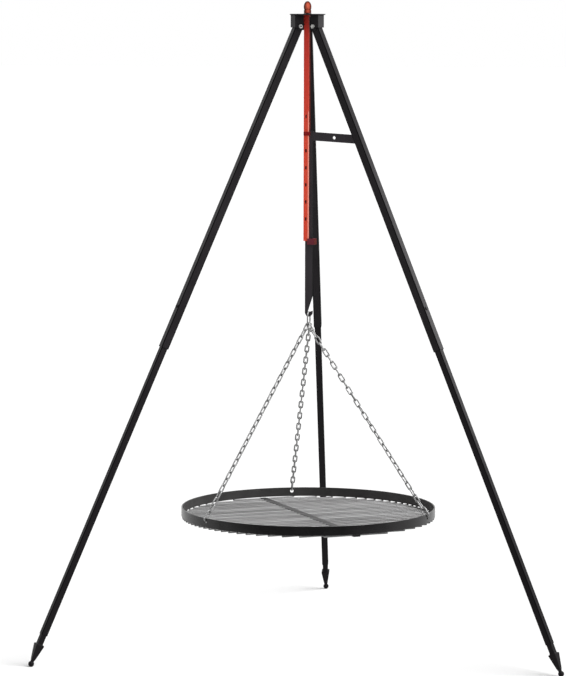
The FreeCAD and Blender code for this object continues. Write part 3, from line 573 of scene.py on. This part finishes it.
surfacePiece("headPlate", [(onAxis(headPlateRings(headPlate), 0.0, tripod["discBottom"]), True, False)], "head",
             ["head_disc"], blackCoat)
softPiece("pivotBolts", "pivot_bolts", 0.4, "head", brightZinc)
softPiece("pivotNuts", "pivot_nuts", 0.4, "head", brightZinc)

recess = {"out": 18.0, "depth": 2.48, "fill": 1.7, "corner": 2.28}


def recessRings(r, azimuth):
    # painted shade: a dark six-sided plate at the floor of the key recess, square to the bolt
    rows = [(r["out"] - r["depth"], r["corner"]), (r["out"] - r["depth"] + r["fill"], r["corner"])]
    rings = roundStack(rows, 6)[..., [0, 2, 1]]
    return onAxis(rings, azimuth, tripod["pivotZ"], tripod["pivotR"])


surfacePiece("boltRecesses", [(recessRings(recess, azimuth), False, True) for azimuth in tripod["sides"].values()],
             "head", [], blackScrew)
print("head made")

# height rail, swivel and strap

knob = {"collar": 10.0, "collarTop": 8.0, "edge": 1.0, "dome": 10.5, "domeCentre": 8.5, "domeRise": 15.5, "bore": 5.08}
swivel = {"azimuth": 344.0, "capTop": tripod["discBottom"] - 0.3, "knobBottom": 5.6, "inside": 4.2, "edgeFacing": 0.5,
          "strapEndFacing": 0.6, "bladeFacing": 0.9}


def knobRings(k):
    # collar with rounded edges, then an egg: radius = dome * cos(t) at height centre + rise * sin(t)
    low, high = swivel["knobBottom"], swivel["knobBottom"] + k["collarTop"]
    collar, e = k["collar"], k["edge"]
    soft = e * 0.3
    start = math.asin(-k["domeCentre"] / k["domeRise"])
    tilt = np.linspace(start, np.pi / 2 - 0.012, 22)
    egg = [(high + k["domeCentre"] + k["domeRise"] * math.sin(t), k["dome"] * math.cos(t)) for t in tilt]
    rows = [(low, k["bore"]), (low, collar - e), (low + soft, collar - soft), (low + e, collar),
            (high - e, collar), (high - soft, collar - soft), (high, collar - e)] + egg
    return roundStack(rows, 64)


surfacePiece("railKnob", [(onAxis(knobRings(knob), swivel["azimuth"], swivel["capTop"]), False, True)], "rail",
             ["rail_knob"], redKnob)
channel = softPiece("railChannel", "lift_rail", 0.7, "rail", redCoat, 3)
middles, normals = faceData(channel)
inFolds = np.abs(middles @ across0) < swivel["inside"]
farEdge = (middles @ across0 > 0.0) & (normals @ along0 > swivel["edgeFacing"])
secondCoat(channel, redPaintedShade, inFolds | farEdge)  # painted shade: a deeper red in the folds and on the far flange's edge
softPiece("railCap", "rail_cap", 0.5, "rail", redCoat)
strap = softPiece("railStrap", "rail_strap", 0.8, "rail", strapCoat, 3)
# painted shade on the strap's end face, which would otherwise catch the lamps
secondCoat(strap, redPaintedShade, faceData(strap)[1] @ along0 > swivel["strapEndFacing"])
softPiece("railWasher", "rail_washer", 0.35, "rail", washerShadeZinc)
stud = frame["nodes"]["rail_stud"]
stud.data.materials.clear()
stud.data.materials.append(brightZinc)
print("rail made")

# hook bar, handle and catch

blade = softPiece("hookBar", "hook_bar", 0.3, "hook", hookLitCoat, 3)
secondCoat(blade, cornerShadeCoat, np.abs(faceData(blade)[1] @ across0) < swivel["bladeFacing"])  # painted shade on the cut edges, which would otherwise catch the lamps
softPiece("liftHandle", "lift_handle", 0.5, "hook", hookLitCoat, 3)
softPiece("heightCatch", "height_catch", 0.4, "hook", catchCoat)
softPiece("catchButton", "catch_button", 0.5, "hook", catchCoat, 3)
print("hook bar made")

# links: wire of radius wire round an oval, with a small weld swelling on one side

hang = {"loadLine": 5.9, "wire": 2.0, "topWire": 918.3068, "masterBend": 10.0, "masterLength": 37.0,
        "spread": 45.0, "links": 29, "chainBend": 5.0, "chainLength": 24.48, "rimBend": 6.5, "rimLength": 30.0,
        "firstAzimuth": 342.0, "azimuthStep": 120.0, "seatGap": 0.4, "stripHigh": 5.0, "stripWide": 4.0,
        "stripR": 348.0, "stripZ": 376.957, "seamHalf": 2.2, "seamFlat": 1.0, "seamSwell": 1.10}
loadSpot = np.array([0.0, tripod["axisY"], 0.0]) + along0 * hang["loadLine"]
lowerBend = hang["topWire"] - hang["masterLength"] + hang["masterBend"]


def linkRings(bend, length, wire, steps=10, around=12):
    # centre line: two half circles of radius bend joined by straights, ring radius wire
    half = length / 2 - bend
    angle = np.linspace(0.0, np.pi, steps)
    swell = np.array([-hang["seamHalf"], -hang["seamFlat"], hang["seamFlat"], hang["seamHalf"]])
    path = [np.stack([bend * np.cos(angle), half + bend * np.sin(angle)], -1),
            np.stack([-bend * np.cos(angle), -half - bend * np.sin(angle)], -1),
            np.stack([np.full(4, bend), swell], -1)]
    outward = [np.stack([np.cos(angle), np.sin(angle)], -1), np.stack([-np.cos(angle), -np.sin(angle)], -1),
               np.tile([1.0, 0.0], (4, 1))]
    thick = np.concatenate([np.ones(2 * steps), [1.0, hang["seamSwell"], hang["seamSwell"], 1.0]]) * wire
    path = np.concatenate(path)
    outward = np.concatenate(outward)
    turn = np.linspace(0.0, 2 * np.pi, around, endpoint=False)
    flat = path[:, None, :] + outward[:, None, :] * (np.cos(turn)[None, :, None] * thick[:, None, None])
    depth = np.sin(turn)[None, :, None] * thick[:, None, None]
    return np.concatenate([flat, depth], -1)


def hungLink(rings, start, along, normal, length):
    # the link's long way lies along the chain, its flat side faces normal
    longWay = -along
    axes = np.stack([np.cross(longWay, normal), longWay, normal])
    return rings @ axes + start + along * (length / 2)


def squareTo(direction, along):
    rest = direction - along * np.dot(direction, along)
    return rest / np.linalg.norm(rest)


def turned(vector, axis, degrees):
    # turn of vector, which is square to axis, about it
    a = math.radians(degrees)
    return vector * math.cos(a) + np.cross(axis, vector) * math.sin(a)


def chainParts(azimuth, archAngle):
    # links from the master link's lower bend straight down to the rim's strip, evenly twisted
    a = math.radians(archAngle)
    hangPoint = loadSpot + upward * lowerBend + (across0 * math.sin(a) - upward * math.cos(a)) * hang["masterBend"]
    tangent = across0 * math.cos(a) + upward * math.sin(a)
    outward = turnZ(azimuth) @ np.array([1.0, 0.0, 0.0])
    strip = loadSpot + outward * hang["stripR"] + upward * hang["stripZ"]
    reach = np.linalg.norm(strip - hangPoint)
    along = (strip - hangPoint) / reach
    startBack = 2 * hang["wire"] + hang["seatGap"]
    stripReach = math.hypot(hang["stripHigh"], hang["stripWide"]) / 2 + hang["wire"] + hang["seatGap"]
    pitch = (reach + stripReach + startBack - hang["rimLength"]) / hang["links"]
    first = squareTo(tangent, along)
    last = squareTo(np.cross(outward, upward), along)
    wanted = math.degrees(math.atan2(np.dot(np.cross(first, last), along), np.dot(first, last)))
    spare = (wanted - 90.0 * hang["links"] + 90.0) % 180.0 - 90.0
    step = 90.0 + spare / hang["links"]
    rings = linkRings(hang["chainBend"], hang["chainLength"], hang["wire"])
    links = [(hungLink(rings, hangPoint + along * (pitch * k - startBack), along, turned(first, along, step * k),
                       hang["chainLength"]), True, False) for k in range(hang["links"])]
    rimStart = hangPoint + along * (pitch * hang["links"] - startBack)
    rimRings = linkRings(hang["rimBend"], hang["rimLength"], hang["wire"])
    return links, (hungLink(rimRings, rimStart, along, last, hang["rimLength"]), True, False)


masterRings = linkRings(hang["masterBend"], hang["masterLength"], hang["wire"], 14, 14)
masterStart = loadSpot + upward * hang["topWire"]
surfacePiece("masterLink", [(hungLink(masterRings, masterStart, -upward, along0, hang["masterLength"]), True, False)],
             "link", ["master_link"], chainZinc)
rimLinkParts = []
for side, turnCount, archAngle in (("right", 0, 0.0), ("back", 1, hang["spread"]), ("left", 2, -hang["spread"])):
    links, rimLink = chainParts(hang["firstAzimuth"] + hang["azimuthStep"] * turnCount, archAngle)
    surfacePiece(f"chain_{side}_links", links, "grate", [f"chain_{side}"], chainZinc)
    rimLinkParts.append(rimLink)
surfacePiece("rimLinks", rimLinkParts, "grate", ["rim_links"], chainZinc)
print("chains made")

# grate: rim, rods and cross bar

grate = {"outer": 350.0, "wall": 4.0, "height": 25.0, "bottom": 354.457, "edge": 0.9, "hole": 5.0, "strip": 5.0,
         "rodR": 3.0, "rodEdge": 0.5, "pitch": 23.0, "count": 30, "inset": 1.0, "azimuth": 26.6,
         "drillIn": 12.0, "drillOut": 8.0, "insideFacing": -100.0}


def onGrate(points, azimuth=0.0):
    return points @ turnZ(azimuth).T + loadSpot + upward * grate["bottom"]


def rimRings(g):
    # rounded strip profile carried round a circle
    outer, inner, top, e = g["outer"], g["outer"] - g["wall"], g["height"], g["edge"]
    soft = e * 0.3
    rows = [(0.0, outer - e), (soft, outer - soft), (e, outer), (top - e, outer), (top - soft, outer - soft),
            (top, outer - e), (top, inner + e), (top - soft, inner + soft), (top - e, inner), (e, inner),
            (soft, inner + soft), (0.0, inner + e)]
    return roundStack(rows, 240)


def rodRings(half, sideStep, g):
    # straight rod with a small chamfer at each end, lying under the rim
    r, e = g["rodR"], g["rodEdge"]
    rows = [(-half, r - e), (-half + e, r), (half - e, r), (half, r - e)]
    rings = roundStack(rows, 14)[..., [2, 0, 1]]
    return onGrate(rings + np.array([0.0, sideStep, -r]), g["azimuth"])


def makeRim():
    rim = surfacePiece("grateRim", [(onGrate(rimRings(grate)), True, False)], "grate", ["grate_rim"],
                       rimCoat)
    rows = [(grate["outer"] - grate["drillIn"], grate["hole"]), (grate["outer"] + grate["drillOut"], grate["hole"])]
    drill = roundStack(rows, 28)[..., [2, 0, 1]]
    drill = drill + upward * (grate["height"] - grate["strip"] - grate["hole"])
    mesh = ringMesh("rimDrills", [(onGrate(drill, hang["firstAzimuth"] + hang["azimuthStep"] * turnCount), False, True)
                                  for turnCount in range(3)])
    work = bmesh.new()
    work.from_mesh(mesh)
    bmesh.ops.recalc_face_normals(work, faces=work.faces)
    work.to_mesh(mesh)
    work.free()
    drills = bpy.data.objects.new("rimDrills", mesh)
    scene.collection.objects.link(drills)
    rim.modifiers.clear()
    opened = rim.modifiers.new("holes", "BOOLEAN")
    opened.operation = "DIFFERENCE"
    opened.solver = "EXACT"
    opened.object = drills
    bpy.context.view_layer.update()
    cutMesh = bpy.data.meshes.new_from_object(rim.evaluated_get(bpy.context.evaluated_depsgraph_get()))
    rim.modifiers.clear()
    rim.data = cutMesh
    bpy.data.objects.remove(drills)
    finishMesh(rim)
    rim.data.materials.clear()
    rim.data.materials.append(rimCoat)
    middles, normals = faceData(rim)
    outward = middles - along0 * hang["loadLine"]
    # painted light: faces turned inwards take the lighter coat
    secondCoat(rim, rimInsideLit, np.sum(outward[:, :2] * normals[:, :2], axis=1) < grate["insideFacing"])


makeRim()
rods = []
rodSteps = np.arange(grate["count"]) - (grate["count"] - 1) / 2
for step in rodSteps:
    far = abs(step) * grate["pitch"] + grate["rodR"]
    half = math.sqrt((grate["outer"] - grate["inset"]) ** 2 - far ** 2)
    rods.append((rodRings(half, step * grate["pitch"], grate), False, True))
surfacePiece("grateRods", rods, "grate", ["grate_rods"], rodSteel)
softPiece("grateCrossBar", "grate_cross_bar", 0.3, "grate", weldSteel)
print("grate made")

# weld beads: small rippled cords where plates and bars are joined

beads = {"headR": 1.2, "cheekIn": 18.0, "webOut": 44.32, "cheekHalf": 14.0, "hookR": 0.9, "bladeFront": 16.4,
         "bladeHalf": 3.0, "handleMid": 1399.42, "handleHalf": 10.5, "strapR": 0.9, "strapStart": 3.5,
         "flangeHalf": 6.8, "flangeGap": 0.3, "railBottom": 1113.02, "strapTop": 1120.02, "rodR": 1.3, "rodHalf": 3.4,
         "headSink": 0.5, "rodSink": 0.5, "rodLift": 0.3, "ripple": 1.6, "rippleRise": 0.12}


def beadRings(start, end, radius, around=8):
    # ring radius: swells once every ripple mm and closes towards both ends
    ripple = beads["ripple"]
    length = np.linalg.norm(end - start)
    share = np.linspace(0.0, 1.0, max(int(length / ripple * 4), 9))
    closing = np.sqrt(np.clip(1.0 - (2.0 * share - 1.0) ** 8, 0.02, 1.0))
    size = radius * closing * (1.0 + beads["rippleRise"] * np.cos(2 * np.pi * share * length / ripple))
    along = (end - start) / length
    side = squareTo(np.array([0.31, 0.52, 0.79]), along)  # any way that no bead runs along
    turn = np.linspace(0.0, 2 * np.pi, around, endpoint=False)[None, :, None]
    ring = np.cos(turn) * side + np.sin(turn) * np.cross(along, side)
    return (start + share[:, None] * (end - start))[:, None, :] + ring * size[:, None, None]


def onRail(u, v, z):
    # u runs out along the handle, v across it
    return np.array([0.0, tripod["axisY"], z]) + along0 * u + across0 * v


def headBeads(b):
    # along both cheeks and the web of each bracket, under the plate
    corners = [(b["cheekIn"], -b["cheekHalf"]), (b["webOut"], -b["cheekHalf"]), (b["webOut"], b["cheekHalf"]),
               (b["cheekIn"], b["cheekHalf"])]
    lines = [np.array([[*corners[k], 0.0], [*corners[k + 1], 0.0]]) for k in range(3)]
    found = [onAxis(line, azimuth, tripod["discBottom"] - b["headSink"])
             for azimuth in tripod["sides"].values() for line in lines]
    return [(beadRings(*line, b["headR"]), False, True) for line in found]


def rodBeads(b):
    # across the top of each rod where it meets the inside of the rim
    found = []
    for sideStep in rodSteps * grate["pitch"]:
        reach = math.sqrt((grate["outer"] - grate["wall"]) ** 2 - sideStep ** 2)
        for end in (-1.0, 1.0):
            middle = np.array([end * (reach - b["rodSink"]), sideStep, b["rodLift"]])
            tangent = np.array([-middle[1], middle[0], 0.0]) / np.hypot(middle[0], middle[1]) * b["rodHalf"]
            line = onGrate(np.array([middle - tangent, middle + tangent]), grate["azimuth"])
            found.append((beadRings(*line, b["rodR"]), False, True))
    return found


hookBeads = [(beadRings(onRail(beads["bladeFront"], v, beads["handleMid"] - beads["handleHalf"]),
                        onRail(beads["bladeFront"], v, beads["handleMid"] + beads["handleHalf"]), beads["hookR"]),
              False, True) for v in (-beads["bladeHalf"], beads["bladeHalf"])]
strapBeads = [(beadRings(onRail(beads["strapStart"], v, beads["railBottom"]),
                         onRail(beads["strapStart"], v, beads["strapTop"]), beads["strapR"]), False, True)
              for v in (-beads["flangeHalf"] - beads["flangeGap"], beads["flangeHalf"] + beads["flangeGap"])]
surfacePiece("headWelds", headBeads(beads), "head", [], blackCoat)
surfacePiece("hookWelds", hookBeads, "hook", [], hookLitCoat)
surfacePiece("strapWelds", strapBeads, "rail", [], redCoat)
surfacePiece("grateWelds", rodBeads(beads), "grate", [], weldSteel)
print("welds made")

# floor, light and camera: a sun has its energy, its angle and the way towards it

studio = {"floorHalf": 80.0, "paper": (0.75, 0.75, 0.75), "dim": (0.04, 0.04, 0.04), "paperEnd": (700.0, 1700.0),
          "cameraGlow": 0.145, "fill": 0.35, "cameraSide": (0.07, -0.99, 0.1), "dimFacing": (0.45, 0.85),
          "dimMost": 0.9}
suns = {"overheadSoftbox": (0.4, 70.0, (0.1, -0.1, 1.0)), "sideSoftbox": (2.4, 26.0, (0.87, -0.32, 1.0)),
        "frontSoftbox": (1.0, 44.0, (0.55, -0.80, 0.55))}
rightPanel = {"energy": 6.0, "size": (0.6, 0.9), "place": (1.29, 0.19, 1.34), "aim": (0.35, -0.40, 0.90)}
paperSun = (4.0, 50.0, (0.926, -0.3765, 1.0))


def makeFloor():
    size = studio["floorHalf"]
    mesh = bpy.data.meshes.new("studioFloor")
    mesh.from_pydata([(-size, -size, 0), (size, -size, 0), (size, size, 0), (-size, size, 0)], [], [(0, 1, 2, 3)])
    floor = bpy.data.objects.new("studioFloor", mesh)
    scene.collection.objects.link(floor)
    material = bpy.data.materials.new("studioFloorWhite")
    material.use_nodes = True
    tree = material.node_tree
    tree.nodes.clear()
    diffuse = tree.nodes.new("ShaderNodeBsdfDiffuse")
    glow = tree.nodes.new("ShaderNodeEmission")
    path = tree.nodes.new("ShaderNodeLightPath")
    where = tree.nodes.new("ShaderNodeTexCoord").outputs["Object"]
    front = reachRamp(tree, where, np.array(studio["cameraSide"]), *studio["paperEnd"])
    mirrored = mathNode(tree, "MULTIPLY", front, path.outputs["Is Glossy Ray"])  # the white paper ends there
    tree.links.new(mixColour(tree, mirrored, studio["paper"], studio["dim"]), diffuse.inputs["Color"])
    shown = mathNode(tree, "MULTIPLY", path.outputs["Is Camera Ray"], studio["cameraGlow"])
    tree.links.new(shown, glow.inputs["Strength"])
    both = tree.nodes.new("ShaderNodeAddShader")
    tree.links.new(diffuse.outputs[0], both.inputs[0])
    tree.links.new(glow.outputs[0], both.inputs[1])
    out = tree.nodes.new("ShaderNodeOutputMaterial")
    tree.links.new(both.outputs[0], out.inputs["Surface"])
    mesh.materials.append(material)


def makeSun(name, energy, angle, towards):
    # a lamp so far off that its light is even; towards points from the object to it
    lamp = bpy.data.lights.new(name, "SUN")
    lamp.energy = energy
    lamp.angle = math.radians(angle)
    sun = bpy.data.objects.new(name, lamp)
    sun.rotation_euler = Vector(towards).to_track_quat("Z", "Y").to_euler()
    scene.collection.objects.link(sun)
    return sun


def makePanel(name, energy, size, place, aim):
    # a lit panel that the camera doesn't see
    lamp = bpy.data.lights.new(name, "AREA")
    lamp.shape = "RECTANGLE"
    lamp.size, lamp.size_y = size
    lamp.energy = energy
    panel = bpy.data.objects.new(name, lamp)
    panel.location = place
    panel.rotation_euler = (Vector(place) - Vector(aim)).to_track_quat("Z", "Y").to_euler()
    panel.visible_camera = False
    scene.collection.objects.link(panel)
    return panel


def chosenPieces(name, starts):
    # a list for light linking, of the pieces whose names start so
    chosen = bpy.data.collections.new(name)
    for piece in scene.objects:
        if piece.name.startswith(starts):
            chosen.objects.link(piece)
    return chosen


def makeLight():
    world = bpy.data.worlds.new("studioWhite")
    scene.world = world
    world.use_nodes = True
    tree = world.node_tree
    path = tree.nodes.new("ShaderNodeLightPath")
    seen = mathNode(tree, "MAXIMUM", path.outputs["Is Camera Ray"], path.outputs["Is Glossy Ray"])
    seen = mathNode(tree, "MAXIMUM", seen, path.outputs["Is Transmission Ray"])
    level = rampNode(tree, seen, 0.0, 1.0, studio["fill"], 1.0)
    facing = tree.nodes.new("ShaderNodeVectorMath")
    facing.operation = "DOT_PRODUCT"
    facing.inputs[1].default_value = studio["cameraSide"]
    tree.links.new(tree.nodes.new("ShaderNodeTexCoord").outputs["Generated"], facing.inputs[0])
    dim = rampNode(tree, facing.outputs["Value"], *studio["dimFacing"], 0.0, studio["dimMost"])
    dim = mathNode(tree, "MULTIPLY", dim, path.outputs["Is Glossy Ray"])  # only mirror rays find that side dim
    level = mathNode(tree, "MULTIPLY", level, mathNode(tree, "SUBTRACT", 1.0, dim))
    back = tree.nodes["Background"]
    back.inputs["Color"].default_value = (1.0, 1.0, 1.0, 1.0)
    tree.links.new(level, back.inputs["Strength"])
    lamps = [makeSun(name, *values) for name, values in suns.items()]
    lamps.append(makePanel("rightPanel", **rightPanel))
    others = chosenPieces("allButTheFloor", "studioFloor")
    others.collection_objects[0].light_linking.link_state = "EXCLUDE"
    for lamp in lamps:
        lamp.light_linking.receiver_collection = others
    paper = makeSun("paperSoftbox", *paperSun)  # for the floor, where only the leg ends shade it
    paper.light_linking.receiver_collection = chosenPieces("theFloor", "studioFloor")
    paper.light_linking.blocker_collection = chosenPieces("theLegEnds", ("lowerTube", "spearFoot"))


def makeCamera():
    # solved from the legs, feet and rim: distance, height, pitch, yaw, roll and focal length in pixels
    shot = {"distance": 8.760, "height": 1.7582, "pitch": 0.1038, "yaw": 0.00742, "roll": 0.0020, "focal": 3207.95,
            "width": 566.0, "turn": 4.27}
    pitch, yaw, roll = shot["pitch"], shot["yaw"], shot["roll"]
    ahead = Vector((-math.sin(yaw), math.cos(yaw), 0.0))
    right = Vector((math.cos(yaw), math.sin(yaw), 0.0))
    over = Vector((0.0, 0.0, 1.0))
    forward = ahead * math.cos(pitch) - over * math.sin(pitch)
    upright = ahead * math.sin(pitch) + over * math.cos(pitch)
    rightRolled = right * math.cos(roll) + upright * math.sin(roll)
    upRolled = upright * math.cos(roll) - right * math.sin(roll)
    axes = Matrix((rightRolled, upRolled, -forward)).transposed().to_4x4()
    spot = Matrix.Translation((0.0, -shot["distance"], shot["height"]))
    stand = Matrix.Translation((0.0, tripod["axisY"] * mm, 0.0)) @ Matrix.Rotation(math.radians(shot["turn"]), 4, "Z")
    data = bpy.data.cameras.new("photoCamera")
    data.sensor_fit = "HORIZONTAL"
    data.sensor_width = 36.0
    data.lens = shot["focal"] * data.sensor_width / shot["width"]
    data.clip_end = 300.0
    camera = bpy.data.objects.new("photoCamera", data)
    camera.matrix_world = stand @ spot @ axes
    scene.collection.objects.link(camera)
    scene.camera = camera


makeFloor()
makeLight()
makeCamera()
scene.view_settings.view_transform = "Standard"
print("studio made")
